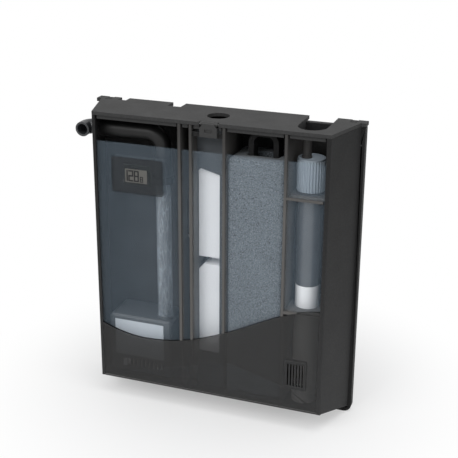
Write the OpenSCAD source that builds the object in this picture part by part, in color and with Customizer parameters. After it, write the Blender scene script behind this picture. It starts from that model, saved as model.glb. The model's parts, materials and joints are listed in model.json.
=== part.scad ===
// Internal box filter for an aquarium. It hangs on a plate that is fixed to the back glass.
// Every sub-part is drawn in the box's own coordinates: x from the middle of the front,
// y from the front face backwards, z up from the underside. from_box() then moves it so
// that the origin is the middle of the mounting plate's back face.

/* [Box] */
// Width of the box across its front
front_w = 275; // [255:1:300]
// How much further each side stands out at the back than at the front
side_flare = 17.7; // [14:0.1:22]
// Height of the box up to the underside of the lid
box_h = 326; // [315:1:345]
// Depth of the box from its front to its back
box_d = 61; // [58:0.5:70]
// Thickness of the moulded walls
wall_t = 3; // [2.4:0.1:3.4]
// Thickness of the floor
floor_t = 3; // [2.4:0.1:4]
// How far the skirt under the floor reaches down at the back
skirt_drop = 17; // [12:0.5:18]

/* [Chambers] */
// Thickness of the upright partitions
partition_t = 3.2; // [2.8:0.1:4]
// Width of the left post at the front
left_post_w = 3.4; // [3.2:0.1:4.2]
// Inside width of the pump chamber
pump_bay_w = 99.8; // [97:0.1:104]
// Inside width of the narrow water channel
channel_w = 10; // [8:0.5:12]
// Inside width of the cartridge chamber
cartridge_bay_w = 35.7; // [34:0.1:38]
// Inside width of the foam chamber
foam_bay_w = 66.5; // [60:0.1:68]
// Width of the right post at the front
right_post_w = 4.6; // [3.6:0.1:5.5]

/* [Front] */
// Depth of the posts and ribs that stand in front of the window
frame_t = 3; // [2.6:0.1:3.6]
// Thickness of the see-through front window
window_t = 2; // [1.6:0.1:2.6]
// Distance from the box's top down to the window's top edge, over which water also enters
window_drop = 30; // [26:1:41]
// Thickness of the dark wave-shaped fascia
fascia_t = 2.6; // [2:0.1:2.8]
// Height of the fascia at its left end
wave_left_h = 73.5; // [66:0.5:80]
// Lowest height of the fascia's wave edge
wave_low_h = 59.5; // [52:0.5:64]
// Distance of that lowest point from the box's left edge
wave_low_x = 60; // [50:1:70]
// Height of the fascia at its right end
wave_right_h = 128.5; // [120:0.5:140]
// Width of the slotted water intake in the fascia
intake_w = 25; // [22:1:28]
// Height of the slotted water intake
intake_h = 36; // [30:1:42]
// Height of the middle of the water intake
intake_z = 45; // [40:1:50]
// Width of one intake slot
intake_slot_w = 1.8; // [1.4:0.1:2]
// Number of slots in the water intake
intake_slots = 6; // [5:1:7]

/* [Lid] */
// Thickness of the lid
lid_t = 4; // [3.6:0.1:4.6]
// Diameter of the finger hole in the lid
finger_hole_d = 25.4; // [22:0.2:27]
// Width of the notch above the heater
heater_notch_w = 32.6; // [32:0.1:34]
// Depth of the upright rim round the heater notch
notch_rim_h = 7; // [5:0.5:8]
// Diameter of the two lid hinge pins
hinge_pin_d = 2; // [1.6:0.1:2.2]
// Width of the latch
latch_w = 20; // [16:0.5:21]
// Height of the latch
latch_h = 16.6; // [14:0.2:18]
// Diameter of the latch's pivot pin
latch_pin_d = 1.6; // [1.2:0.1:2]

/* [Mounting plate] */
// Width of the mounting plate
plate_w = 319; // [317:1:322]
// Depth of the mounting plate's rim
plate_d = 10; // [9:0.5:12]
// Thickness of the mounting plate's sheet
plate_sheet_t = 3; // [2:0.5:3.5]
// How far the plate reaches below the box
plate_drop = 25; // [20:1:30]
// Diameter of the four screw holes in the plate
screw_hole_d = 4.4; // [3.5:0.1:5]

/* [Pump] */
// Width of the pump
pump_w = 80.5; // [76:0.5:83]
// Height of the pump above its feet
pump_h = 73; // [68:1:78]
// Depth of the pump
pump_d = 44; // [36:0.5:45]
// Height of the pump's rubber feet
pump_foot_h = 3; // [2:0.5:4]
// Diameter of the impeller
impeller_d = 18; // [15:0.5:19]
// Diameter of the rotor's magnet
magnet_d = 15; // [13:0.5:16]
// Diameter of the ceramic shaft
shaft_d = 2; // [1.6:0.1:2.4]
// Number of impeller blades
blades = 6; // [4:1:8]
// Number of slots in the pump's inlet
pump_slots = 8; // [6:1:9]

/* [Pipework] */
// Outside diameter of the clear riser tube
riser_d = 17.6; // [16.8:0.2:18.4]
// Wall of the riser tube
riser_wall = 1.2; // [1:0.1:1.6]
// Outside diameter of the black elbow pipe
elbow_d = 19.8; // [18.8:0.1:20]
// Radius of the elbow's bend along its middle
elbow_bend_r = 17; // [14:0.5:20]
// Distance from the box's top down to the middle of the elbow's upper leg
outlet_drop = 21; // [18:0.5:24]
// Distance of the pipework from the front face
pipe_y = 28; // [26:0.5:30]
// Inside diameter of the outlet nozzle's mouth
mouth_d = 12.4; // [10:0.2:13]
// Angle at which the nozzle points down at rest
nozzle_dip = 3; // [0:1:20]

/* [Cartridges and foam] */
// Width of a filter cartridge
cartridge_w = 27; // [25:0.1:28]
// Height of a filter cartridge
cartridge_h = 112; // [104:1:113]
// Depth of a filter cartridge
cartridge_d = 36; // [30:0.5:37]
// Distance from the front face to the cartridges' wall
rack_y = 16.5; // [14:0.5:18]
// Distance from the box's top down to the foam's top
foam_drop = 33; // [31:1:49]
// Width of the foam's strap handle
handle_w = 35; // [28:1:42]

/* [Heater] */
// Diameter of the heater's tube
heater_d = 27.4; // [25:0.1:28.4]
// Diameter of the heater's ribbed dial
dial_d = 32; // [29.6:0.1:32]
// Height of the heater's ribbed dial
dial_h = 36; // [32:1:42]
// Number of grip ribs round the dial
dial_ribs = 30; // [20:1:36]
// Height of the shelf that the heater stands on
shelf_z = 120; // [108:1:124]
// Height of the heater's white end cap
end_cap_h = 26.5; // [22:0.5:32]
// Distance from the box's top down to the top of the heater's tube
tube_drop = 67; // [63:1:73]
// Distance from the foam's partition to the heater's middle
heater_side = 19.4; // [18.5:0.1:20]
// Distance from the front face to the heater's middle
heater_y = 28; // [26:0.5:30]

/* [Thermometer] */
// Width of the thermometer's panel
gauge_w = 62; // [56:0.5:66]
// Height of the thermometer's panel
gauge_h = 41; // [36:0.5:44]
// Width of the display
lcd_w = 27; // [24:0.5:32]
// Height of the display
lcd_h = 16; // [14:0.5:20]

/* [Hidden] */
$fn = 48;
seat = 0.3;                       // gap between pieces that only lie against each other
run = 0.06;                       // radial gap of a turning or sliding fit
over = 1;                         // how far a cutting solid reaches past the face that it cuts
flare_angle = atan(side_flare / box_d);
back_in = box_d - wall_t;         // inner face of the back wall
total_d = box_d + seat + plate_d;
plate_h = plate_drop + box_h - 1.5;
plate_mid_z = plate_h / 2 - plate_drop;

// Left faces of the four partitions, and the middles of the chambers
partition_x = [
    -front_w / 2 + left_post_w + pump_bay_w,
    -front_w / 2 + left_post_w + pump_bay_w + partition_t + channel_w,
    -front_w / 2 + left_post_w + pump_bay_w + 2 * partition_t + channel_w + cartridge_bay_w,
    -front_w / 2 + left_post_w + pump_bay_w + 3 * partition_t + channel_w + cartridge_bay_w + foam_bay_w
];
heater_x = partition_x[3] + partition_t + heater_side;
foam_x = partition_x[2] + partition_t + foam_bay_w / 2;
latch_x = partition_x[1] + partition_t + cartridge_bay_w / 2 + 2;
part_y = frame_t + window_t;      // front edge of the partitions, against the window
window_h = box_h - window_drop;
wave_low_hand = 95;              // lengths of the handles that shape the fascia's climb
wave_high_hand = 60;
port_h = 54;
port_z = 24;
port_pitch = 78;
port_pump_z = 187;
foam_port_y = [35, 51];           // front and back of the ports beside the heater
overflow_port_y = [19.5, 32];     // front and back of the pump wall's high port
inlet_port_y = [20, 50];          // front and back of its low port, beside the pump
inlet_port_z = [2, 24];           // bottom and top of the low port, above the pump's underside
port_notch = 4;                   // width of the shelf's notch beside those ports
shelf_t = 3;
ledge_gap = 1.6;                  // between the front rib of a shelf and the box's right post
intake_x = heater_x - 3.4;

// Lid and hinge
lid_gap = seat;
lid_z = box_h + lid_gap;
lid_rear_y = total_d - 0.6;
lid_ear_w = plate_w + 2;
hinge_y = lid_rear_y - lid_t / 2 - 0.2;
hinge_z = lid_z + lid_t / 2;
hinge_lug_w = 6.4;
hinge_lug_x = front_w / 2 + side_flare - 9.2;
hinge_pin_l = 16;
lip_y = 2;
lip_t = 2;
lip_h = 4.4;
latch_y = 2.4;
latch_z = lid_z + lid_t - 2;
latch_barrel_r = 2.3;
latch_face_y = -1.6;
latch_t = 2.6;
latch_notch_w = latch_w + 2.6;
latch_pin_l = latch_notch_w + 6;
latch_bead_r = 1;
keeper_bar_y = latch_face_y + latch_t + latch_bead_r + seat;
keeper_bar_t = 3;
keeper_bar_h = 5;
keeper_bar_drop = 15;
cord_notch_w = 16;
cord_notch_d = 17;
cord_notch_x = -60.5;
small_notch_w = 10;
small_notch_d = 11;
small_notch_x = -128.5;
finger_x = 1.3;
finger_y = 32.4;
notch_front_y = 10.8;
notch_rim_t = 1.3;

// Hooks that hang the box on the plate
hook_neck_w = 8;
hook_head_w = 16;
hook_neck_t = 3.4;
hook_head_t = 2.6;
hook_h = 12;
keeper_h = 14;
keeper_w = 26;
keeper_d = plate_d - plate_sheet_t - 0.5;
hook_x = 92;
hook_low_z = 60;
hook_top_drop = 64;
hook_z = [hook_low_z, box_h - hook_top_drop];
plate_corner_r = 9;
plate_rim_w = 12;
screw_x = plate_w / 2 - 6.5;
screw_z = [-plate_drop + 7, box_h - 22];

// Pump
pump_x = -front_w / 2 + 6.2 + pump_w / 2;
pump_y = 12;
pump_z = floor_t + pump_foot_h;
pump_cover_t = 5;
pump_wall = 2.5;
pump_corner_r = 6;
pump_chamfer = 2.4;               // chamfer round the cover's front rim
plenum_h = 20;
slot_pitch = 5.3;
slots_shift = 8.5;
pump_slot_w = 2.6;
pump_slot_h = 10;
pump_slot_z = pump_z + 6;
shutter_t = 1.2;
riser_x = pump_x + pump_w / 2 - 13.3;
rotor_y = pipe_y;
rotor_z = pump_z + 24;
impeller_w = 9;
impeller_x = riser_x;
well_gap = 0.8;
eye_w = 3.7;
eye_h = 12;
bush_r = 2.6;
magnet_l = 26;
magnet_right_x = impeller_x - impeller_w / 2 - 1.5;
shaft_l = 43.5;
coil_right_x = magnet_right_x - 5;
coil_front = 6;
coil_rise = 6;
coil_depth = pump_d - pump_cover_t - coil_front - 2;
coil_h = pump_h - 16;
shaft_left_x = magnet_right_x - magnet_l - 4;
face_plate_w = 63;
face_plate_h = 46;
face_plate_t = 1.4;
face_plate_rise = 21;
face_plate_x = pump_x - 0.8;
face_plate_z = pump_z + face_plate_rise;

// Pipework
outlet_z = box_h - outlet_drop;
riser_r = riser_d / 2;
elbow_r = elbow_d / 2;
elbow_bore_r = 6.3;
socket_depth = 9;
socket_r = riser_r + 1.4;
riser_bottom_z = pump_z + pump_h - socket_depth;
sleeve_r = riser_r + 3;
sleeve_h = 8;
sleeve_drop = 50;                 // from the elbow's upper leg down to the sleeve's top
sleeve_top_z = outlet_z - sleeve_drop;
sleeve_bottom_z = sleeve_top_z - sleeve_h;
spigot_bottom_z = sleeve_bottom_z - 12;
riser_top_z = sleeve_top_z - 1 - seat;
nozzle_r = 8.6;
nozzle_bend_r = 8.8;
nozzle_neck = 2.6;                // straight part of the nozzle outside the wall
spigot_r = 7.6;
spigot_l = 14;

// Left side wall at the pipework's depth, outside and inside
side_x = front_w / 2 + side_flare * pipe_y / box_d;
side_wall_x = wall_t / cos(flare_angle);
elbow_left_x = -side_x + side_wall_x + elbow_r * tan(flare_angle) + seat;

// Cartridges
rack_t = 2.4;
cartridge_x = partition_x[1] + partition_t + 0.4 + cartridge_w / 2;
cartridge_y = rack_y + rack_t + 0.4;
cartridge_floor_z = 46;
stack_rib_h = 8.4;
upper_z = cartridge_floor_z + cartridge_h + stack_rib_h + seat;
cartridge_corner_w = 6;
cartridge_corner_h = 7;
cartridge_wall = 1.6;
lintel_z = upper_z + cartridge_h - 5.5;
lintel_drop = 5.7;
lintel_corner = 4.5;

// Foam
foam_floor_z = 7;
foam_h = box_h - foam_drop - foam_floor_z;
foam_r = 5;
foam_clear = 0.6;
strap_w = 6.4;
strap_t = 16;
handle_x = foam_x + 2.4;

// Heater
tube_top_z = box_h - tube_drop;
clip_t = 2.6;
clip_drop = 2.4;                    // from the top of the tube down to the clip
clip_z = tube_top_z - clip_t - clip_drop;
clip_y = 11;
clip_clear = 0.4;
heater_bottom_z = shelf_z + shelf_t + seat;
dial_z = tube_top_z + 1;
neck_r = 12;
neck_h = dial_z + dial_h - tube_top_z - 0.6;
gland_d = 10;
gland_shift = 5.8;
gland_top_z = box_h - 8;
heater_wall = 1.6;
end_cap_plug = 6;                 // how far the end cap reaches up into the tube
heater_core_r = 9;

// Thermometer
gauge_side = 52.1;                  // from the box's left edge to the panel's middle
gauge_x = -front_w / 2 + gauge_side;
gauge_drop = 67;
gauge_z = box_h - gauge_drop;
gauge_d = 12;
gauge_y = frame_t - 1.2;
gauge_r = 1.4;
gauge_wall = 1.6;
lens_step = 0.3;
digit_t = 0.2;
board_t = 1.4;
board_gap = 0.9;                  // from the display to its board
cell_r = 10;
sensor_inset = 12;
sensor_drop = 10;
sensor_x = gauge_x - gauge_w / 2 + sensor_inset;
sensor_z = gauge_z - sensor_drop;
lcd_x = gauge_x - 0.6;
lcd_z = gauge_z + 0.5;

// ---------- shared shapes ----------

// Moves box coordinates to the part's own frame
module from_box() {
    translate([0, -total_d, -plate_mid_z]) children();
}

// Rectangle with round corners, lower left corner at the origin
module round_rect(w, h, r) {
    translate([r, 0]) square([w - 2 * r, h]);
    translate([0, r]) square([w, h - 2 * r]);
    for (x = [r, w - r], y = [r, h - r]) {
        translate([x, y]) circle(r);
    }
}

// Upright slab whose outline is drawn in x and z, with its front face at y
module front_slab(y, t) {
    translate([0, y + t, 0]) rotate([90, 0, 0]) linear_extrude(t) children();
}

// Cylinder lying along x
module rod_x(r, l) {
    rotate([0, 90, 0]) cylinder(r = r, h = l);
}

// Cylinder lying along y, running backwards
module rod_y(r, l) {
    rotate([-90, 0, 0]) cylinder(r = r, h = l);
}

// Half width of the box at a depth, less an inset square to the side wall
function half_w(y, inset = 0) = front_w / 2 + side_flare * y / box_d - inset / cos(flare_angle);

// Plan of the box between two depths, inset from its sides
module box_plan(y0, y1, inset = 0) {
    polygon([
        [-half_w(y0, inset), y0],
        [half_w(y0, inset), y0],
        [half_w(y1, inset), y1],
        [-half_w(y1, inset), y1]
    ]);
}

// Row of equal upright slots, centred on x = 0 and z = 0, cutting along y
module slot_row(count, pitch, w, h, depth) {
    for (i = [0 : count - 1]) {
        translate([(i - (count - 1) / 2) * pitch - w / 2, 0, -h / 2]) cube([w, depth, h]);
    }
}

// ---------- mounting plate ----------

module plate_outline() {
    translate([-plate_w / 2, -plate_drop]) {
        round_rect(plate_w, plate_drop + box_h / 2, plate_corner_r);
        translate([0, plate_corner_r]) square([plate_w, plate_h - plate_corner_r]);
    }
}

// Block with an upright T-shaped slot that takes one hook
module keeper() {
    y0 = box_d + seat + 0.5;
    difference() {
        translate([-keeper_w / 2, y0, 0]) cube([keeper_w, keeper_d + 0.01, keeper_h]);
        translate([-hook_neck_w / 2 - seat, y0 - over, -over]) {
            cube([hook_neck_w + 2 * seat, keeper_d, keeper_h + 2 * over]);
        }
        translate([-hook_head_w / 2 - seat, box_d + hook_neck_t - seat, -over]) {
            cube([hook_head_w + 2 * seat, hook_head_t + 2 * seat, keeper_h + 2 * over]);
        }
    }
}

module mounting_plate() {
    front_y = box_d + seat;
    color("#303030") {
        difference() {
            front_slab(front_y, plate_d) plate_outline();
            translate([-plate_w / 2 + plate_rim_w, front_y - over, 0]) {
                cube([plate_w - 2 * plate_rim_w, plate_d - plate_sheet_t + over,
                      plate_h - plate_drop - plate_rim_w]);
            }
            for (x = [-screw_x, screw_x], z = screw_z) {
                translate([x, front_y - over, z]) rod_y(screw_hole_d / 2, plate_d + 2 * over);
            }
        }
        for (x = [-hook_x, hook_x], z = hook_z) {
            translate([x, 0, z - keeper_h / 2]) keeper();
        }
    }
}

// ---------- housing ----------

// T-shaped hook on the back of the housing
module hook() {
    translate([-hook_neck_w / 2, box_d - 0.01, -hook_h / 2]) {
        cube([hook_neck_w, hook_neck_t + 0.02, hook_h]);
    }
    translate([-hook_head_w / 2, box_d + hook_neck_t, -hook_h / 2]) {
        cube([hook_head_w, hook_head_t, hook_h]);
    }
}

// Ear at the top of the back wall that carries one hinge pin
module hinge_lug() {
    foot_y = back_in;
    difference() {
        union() {
            translate([-hinge_lug_w / 2, foot_y, box_h - wall_t]) {
                cube([hinge_lug_w, wall_t, wall_t + lid_gap]);
            }
            translate([-hinge_lug_w / 2, foot_y, box_h]) {
                cube([hinge_lug_w, hinge_y - foot_y, lid_gap + lid_t]);
            }
            translate([-hinge_lug_w / 2, hinge_y, hinge_z]) rod_x(lid_t / 2, hinge_lug_w);
        }
        translate([-hinge_lug_w / 2 - over, hinge_y, hinge_z]) {
            rod_x(hinge_pin_d / 2 + run, hinge_lug_w + 2 * over);
        }
    }
}

// Space below the housing: its upper face is level at the front, then falls to the back wall
module space_below() {
    fall = skirt_drop / (box_d - frame_t);
    rotate([90, 0, 90]) translate([0, 0, -plate_w / 2]) linear_extrude(plate_w) polygon([
        [-over, 0],
        [frame_t, 0],
        [box_d + over, -skirt_drop - fall * over],
        [box_d + over, -2 * skirt_drop],
        [-over, -2 * skirt_drop]
    ]);
}

module housing_shell() {
    color("#343434") {
        difference() {
            translate([0, 0, -skirt_drop - over]) {
                linear_extrude(skirt_drop + over + box_h) box_plan(0, box_d);
            }
            space_below();
            translate([0, 0, -skirt_drop - 2 * over]) {
                linear_extrude(skirt_drop + 2 * over) box_plan(frame_t, back_in, wall_t);
            }
            translate([0, 0, floor_t]) linear_extrude(box_h) box_plan(frame_t, back_in, wall_t);
            front_slab(-over, frame_t + 2 * over) {
                translate([-front_w / 2 + left_post_w, 0]) {
                    square([front_w - left_post_w - right_post_w, box_h + over]);
                }
            }
            translate([-half_w(box_d), pipe_y, outlet_z]) rod_x(nozzle_r + seat, 4 * wall_t + side_flare);
        }
        for (x = [-hook_x, hook_x], z = hook_z) {
            translate([x, 0, z]) hook();
        }
        for (x = [-hinge_lug_x, hinge_lug_x]) {
            translate([x, 0, 0]) hinge_lug();
        }
    }
}

// ---------- front ----------

// Point at t on the curve whose ends are level and lie at a and b, with handles ha and hb
function swell(a, b, ha, hb, t) =
    let (u = 1 - t)
    a * u * u * u + 3 * (a + [ha, 0]) * u * u * t + 3 * (b - [hb, 0]) * u * t * t + b * t * t * t;

// Fascia from the floor up to the wave: it sinks to its lowest point, then climbs in one swell
module fascia_outline(shrink) {
    left = -front_w / 2;
    x0 = left + left_post_w + shrink;
    x1 = front_w / 2 - right_post_w - shrink;
    low = [left + wave_low_x, wave_low_h - shrink];
    high = [front_w / 2, wave_right_h - shrink];
    steps = 24;
    dip = [for (i = [0 : steps]) let (t = i / steps)
        [left + wave_low_x * t, low[1] + (wave_left_h - wave_low_h) * (1 - t) * (1 - t)]];
    climb = [for (i = [1 : steps]) swell(low, high, wave_low_hand, wave_high_hand, i / steps)];
    intersection() {
        polygon(concat([[high[0], 0], [left, 0]], dip, climb));
        translate([x0, 0]) square([x1 - x0, box_h]);
    }
}

module front_window() {
    color("#7d8a99", 0.35) difference() {
        translate([0, 0, floor_t]) linear_extrude(window_h - floor_t) box_plan(frame_t, part_y, wall_t);
        front_slab(frame_t - over, window_t + 2 * over) {
            translate([gauge_x - gauge_w / 2 - seat, gauge_z - gauge_h / 2 - seat]) {
                round_rect(gauge_w + 2 * seat, gauge_h + 2 * seat, gauge_r + seat);
            }
            translate([intake_x - intake_w / 2, intake_z - intake_h / 2]) square([intake_w, intake_h]);
        }
    }
}

module wave_fascia() {
    color("#2f2f31", 0.9) difference() {
        front_slab(frame_t - fascia_t, fascia_t) fascia_outline(0.1);
        translate([intake_x - intake_w / 2, -over, intake_z - intake_h / 2]) {
            cube([intake_w, frame_t + 2 * over, intake_h]);
        }
    }
}

module intake_grille() {
    front_y = frame_t - fascia_t - 0.4;
    depth = part_y - front_y;
    pitch = (intake_w - 4) / intake_slots;
    color("#262626") difference() {
        translate([intake_x - intake_w / 2, front_y, intake_z - intake_h / 2]) {
            cube([intake_w, depth, intake_h]);
        }
        translate([intake_x, front_y - over, intake_z]) {
            slot_row(intake_slots, pitch, intake_slot_w, intake_h - 8, depth + 2 * over);
        }
    }
}

// ---------- partitions ----------

// Upright wall with its left face at x. Above the window it reaches the front, and from
// there a rib hangs down in front of the window to the fascia. Ports are cut through it.
module partition(x, ports) {
    difference() {
        union() {
            translate([x, part_y, floor_t]) cube([partition_t, back_in - part_y, box_h - floor_t]);
            translate([x, 0, window_h + seat]) cube([partition_t, part_y, box_h - window_h - seat]);
            difference() {
                rib_z = wave_low_h - 2;
                translate([x, 0, rib_z]) cube([partition_t, frame_t, window_h + over - rib_z]);
                front_slab(-over, frame_t + 2 * over) fascia_outline(0);
            }
        }
        for (p = ports) {
            translate([x - over, p[0], p[2]]) cube([partition_t + 2 * over, p[1] - p[0], p[3] - p[2]]);
        }
    }
}

// Tall ports, one above the other, as a list of [front, back, bottom, top]
function port_column(front, back) = [
    for (row = [0 : 2]) let (z = port_z + row * port_pitch) [front, back, z, z + port_h]
];

module partition_pump() {
    color("#3a3a3c") partition(partition_x[0], [
        [overflow_port_y[0], overflow_port_y[1], port_pump_z, port_pump_z + port_h],
        [inlet_port_y[0], inlet_port_y[1], pump_z + inlet_port_z[0], pump_z + inlet_port_z[1]]
    ]);
}

module partition_channel() {
    color("#3a3a3c") partition(partition_x[1], port_column(30, 50));
}

module partition_cartridge() {
    color("#3a3a3c") partition(partition_x[2], port_column(24, 50));
}

module partition_foam() {
    color("#3a3a3c") partition(partition_x[3], port_column(foam_port_y[0], foam_port_y[1]));
}

// Wall across the cartridge chamber, with the tall opening that shows the cartridges
module media_rack() {
    x0 = partition_x[1] + partition_t;
    x1 = partition_x[2];
    open_w = cartridge_w - seat;
    rail_d = 6;
    rail_x = cartridge_x + cartridge_w / 2 + 0.4;
    color("#4a4d50") {
        difference() {
            translate([x0, rack_y, floor_t]) cube([x1 - x0, rack_t, box_h - 6 - floor_t]);
            front_slab(rack_y - over, rack_t + 2 * over) translate([x0, 0]) polygon([
                [-over, cartridge_floor_z - 2],
                [open_w, cartridge_floor_z - 2],
                [open_w, lintel_z - lintel_drop],
                [lintel_corner, lintel_z],
                [0, lintel_z - lintel_corner],
                [-over, lintel_z - lintel_corner - over]
            ]);
        }
        // floor under the cartridges, which leaves the ports beside the rails open
        translate([x0, rack_y, cartridge_floor_z - 5]) {
            cube([rail_x + rack_t - x0, back_in - rack_y, 5 - seat]);
        }
        for (y = [rack_y, back_in - rail_d]) {
            translate([rail_x, y, cartridge_floor_z - 5]) {
                cube([rack_t, rail_d, lintel_z - cartridge_floor_z]);
            }
        }
    }
}

// ---------- heater chamber ----------

// Rib in front of the window that continues the front edge of a shelf, from the foam's partition
// nearly to the post, with its lower face at z
module ledge(z, t) {
    x0 = partition_x[3] + partition_t;
    difference() {
        translate([x0, 0, z]) cube([front_w / 2 - right_post_w - ledge_gap - x0, frame_t, t]);
        front_slab(-over, frame_t + 2 * over) fascia_outline(0);
    }
}

module heater_shelf() {
    x0 = partition_x[3] + partition_t;
    color("#4a4d50") ledge(shelf_z, shelf_t);
    color("#4a4d50") difference() {
        translate([0, 0, shelf_z]) linear_extrude(shelf_t) intersection() {
            box_plan(part_y, back_in, wall_t);
            translate([x0, 0]) square([front_w, box_d]);
        }
        translate([heater_x, heater_y, shelf_z - over]) cylinder(r = 9, h = shelf_t + 2 * over);
        // notch that leaves the ports beside it open
        translate([x0 - over, foam_port_y[0] - 1, shelf_z - over]) {
            cube([port_notch + over, foam_port_y[1] - foam_port_y[0] + 2, shelf_t + 2 * over]);
        }
    }
}

module heater_clip() {
    x0 = partition_x[3] + partition_t;
    color("#4a4d50") ledge(clip_z, clip_t);
    color("#4a4d50") difference() {
        translate([0, 0, clip_z]) linear_extrude(clip_t) intersection() {
            box_plan(clip_y, back_in, wall_t);
            translate([x0, 0]) square([front_w, box_d]);
        }
        translate([heater_x, heater_y, clip_z - over]) {
            cylinder(r = heater_d / 2 + clip_clear, h = clip_t + 2 * over);
        }
    }
}

module intake_strainer() {
    h = shelf_z - floor_t;
    r = 14.5;
    slots = 8;
    color("#3c3c3e") translate([heater_x, heater_y, floor_t]) difference() {
        cylinder(r = r, h = h);
        translate([0, 0, 3]) cylinder(r = r - 2, h = h);
        // slots on the side away from the window
        for (i = [0 : slots - 1]) {
            rotate([0, 0, 15 + i * 150 / (slots - 1)]) translate([r - 4, -1.1, 8]) cube([6, 2.2, h - 16]);
        }
    }
}

// Perforated floor that carries the foam
module foam_grate() {
    x0 = partition_x[2] + partition_t;
    bars = 9;
    pitch = foam_bay_w / bars;
    color("#3c3c3e") translate([0, 0, floor_t]) difference() {
        translate([x0, part_y, 0]) cube([foam_bay_w, back_in - part_y, foam_floor_z - floor_t - seat]);
        for (i = [0 : bars - 1]) {
            translate([x0 + (i + 0.5) * pitch - 1.9, part_y + 4, -over]) {
                cube([3.8, back_in - part_y - 8, foam_floor_z]);
            }
        }
    }
}

module latch_keeper() {
    x0 = partition_x[1] + partition_t;
    color("#343434") translate([x0, keeper_bar_y, latch_z - keeper_bar_drop]) {
        cube([cartridge_bay_w, keeper_bar_t, keeper_bar_h]);
    }
}

// ---------- thermometer ----------

module thermometer_case() {
    color("#3b3d40", 0.9) difference() {
        front_slab(gauge_y, gauge_d) {
            translate([gauge_x - gauge_w / 2, gauge_z - gauge_h / 2]) round_rect(gauge_w, gauge_h, gauge_r);
        }
        translate([gauge_x, gauge_y + gauge_wall, gauge_z]) {
            translate([gauge_wall - gauge_w / 2, 0, gauge_wall - gauge_h / 2]) {
                cube([gauge_w - 2 * gauge_wall, gauge_d, gauge_h - 2 * gauge_wall]);
            }
        }
        translate([lcd_x - lcd_w / 2, gauge_y - over, lcd_z - lcd_h / 2]) {
            cube([lcd_w, gauge_wall + 2 * over, lcd_h]);
        }
    }
}

module thermometer_back() {
    inner_w = gauge_w - 2 * gauge_wall - 0.2;
    inner_h = gauge_h - 2 * gauge_wall - 0.2;
    color("#2c2e30") difference() {
        translate([gauge_x - inner_w / 2, gauge_y + gauge_d - 2, gauge_z - inner_h / 2]) {
            cube([inner_w, 2, inner_h]);
        }
        translate([sensor_x, gauge_y + gauge_d - 2 - over, sensor_z]) {
            rod_y(2.5, 2 + 2 * over);
        }
    }
}

module display_lens() {
    color("#9a9c98") translate([lcd_x - lcd_w / 2 + 0.1, gauge_y + lens_step, lcd_z - lcd_h / 2 + 0.1]) {
        cube([lcd_w - 0.2, gauge_wall, lcd_h - 0.2]);
    }
}

// Which of the seven strokes each shown digit uses: top, upper left, upper right,
// middle, lower left, lower right, bottom
TWO = [1, 0, 1, 1, 1, 0, 1];
EIGHT = [1, 1, 1, 1, 1, 1, 1];

module digit(strokes, w, h, t) {
    half = h / 2;
    bars = [
        [0, h - t, w, t], [0, half, t, half], [w - t, half, t, half], [0, half - t / 2, w, t],
        [0, 0, t, half], [w - t, 0, t, half], [0, 0, w, t]
    ];
    for (i = [0 : 6]) {
        if (strokes[i] == 1) {
            translate([bars[i][0], bars[i][1]]) square([bars[i][2], bars[i][3]]);
        }
    }
}

module display_digits() {
    digit_w = 6;
    digit_h = 13;
    stroke = 1.5;
    base_z = lcd_z - digit_h / 2;
    color("#2b2d2e") {
        front_slab(gauge_y + lens_step - digit_t, digit_t) {
            // upright bar on the left, the two large figures and the small one
            translate([lcd_x - 11.6, base_z]) square([1.4, digit_h]);
            translate([lcd_x - 9.4, base_z]) digit(TWO, digit_w, digit_h, stroke);
            translate([lcd_x - 2.6, base_z]) digit(EIGHT, digit_w, digit_h, stroke);
            translate([lcd_x + 4.8, base_z]) digit(EIGHT, 3.7, 6.6, 0.9);
        }
    }
}

module thermometer_board() {
    board_w = lcd_w + 6;
    board_h = lcd_h + 8;
    color("#2f6b3a") {
        translate([lcd_x - board_w / 2, gauge_y + gauge_wall + lens_step + board_gap, lcd_z - board_h / 2]) {
            cube([board_w, board_t, board_h]);
        }
    }
}

module button_cell() {
    y = gauge_y + gauge_wall + lens_step + board_gap + board_t;
    color("#c9ccd0") translate([lcd_x + 4, y, lcd_z]) rod_y(cell_r, 3.2);
}

module temperature_sensor() {
    color("#b9bcc0") {
        translate([sensor_x, gauge_y + gauge_d - 2.6, sensor_z]) rod_y(2.5 - run / 2, 5);
        translate([sensor_x, gauge_y + gauge_d, sensor_z]) rod_y(3.4, 1);
    }
}

// ---------- pump ----------

module pump_block(y0, y1, inset = 0) {
    w = pump_w - 2 * inset;
    front_slab(y0, y1 - y0) {
        translate([pump_x - w / 2, pump_z]) {
            round_rect(w, pump_h - inset, pump_corner_r - inset);
            square([w, pump_h / 2]);
        }
    }
}

// Pump's front cover before its cuts, with a chamfer round its front rim
module cover_block() {
    hull() {
        pump_block(pump_y, pump_y + pump_chamfer, pump_chamfer);
        pump_block(pump_y + pump_chamfer, pump_y + pump_cover_t - 0.02);
    }
}

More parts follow.
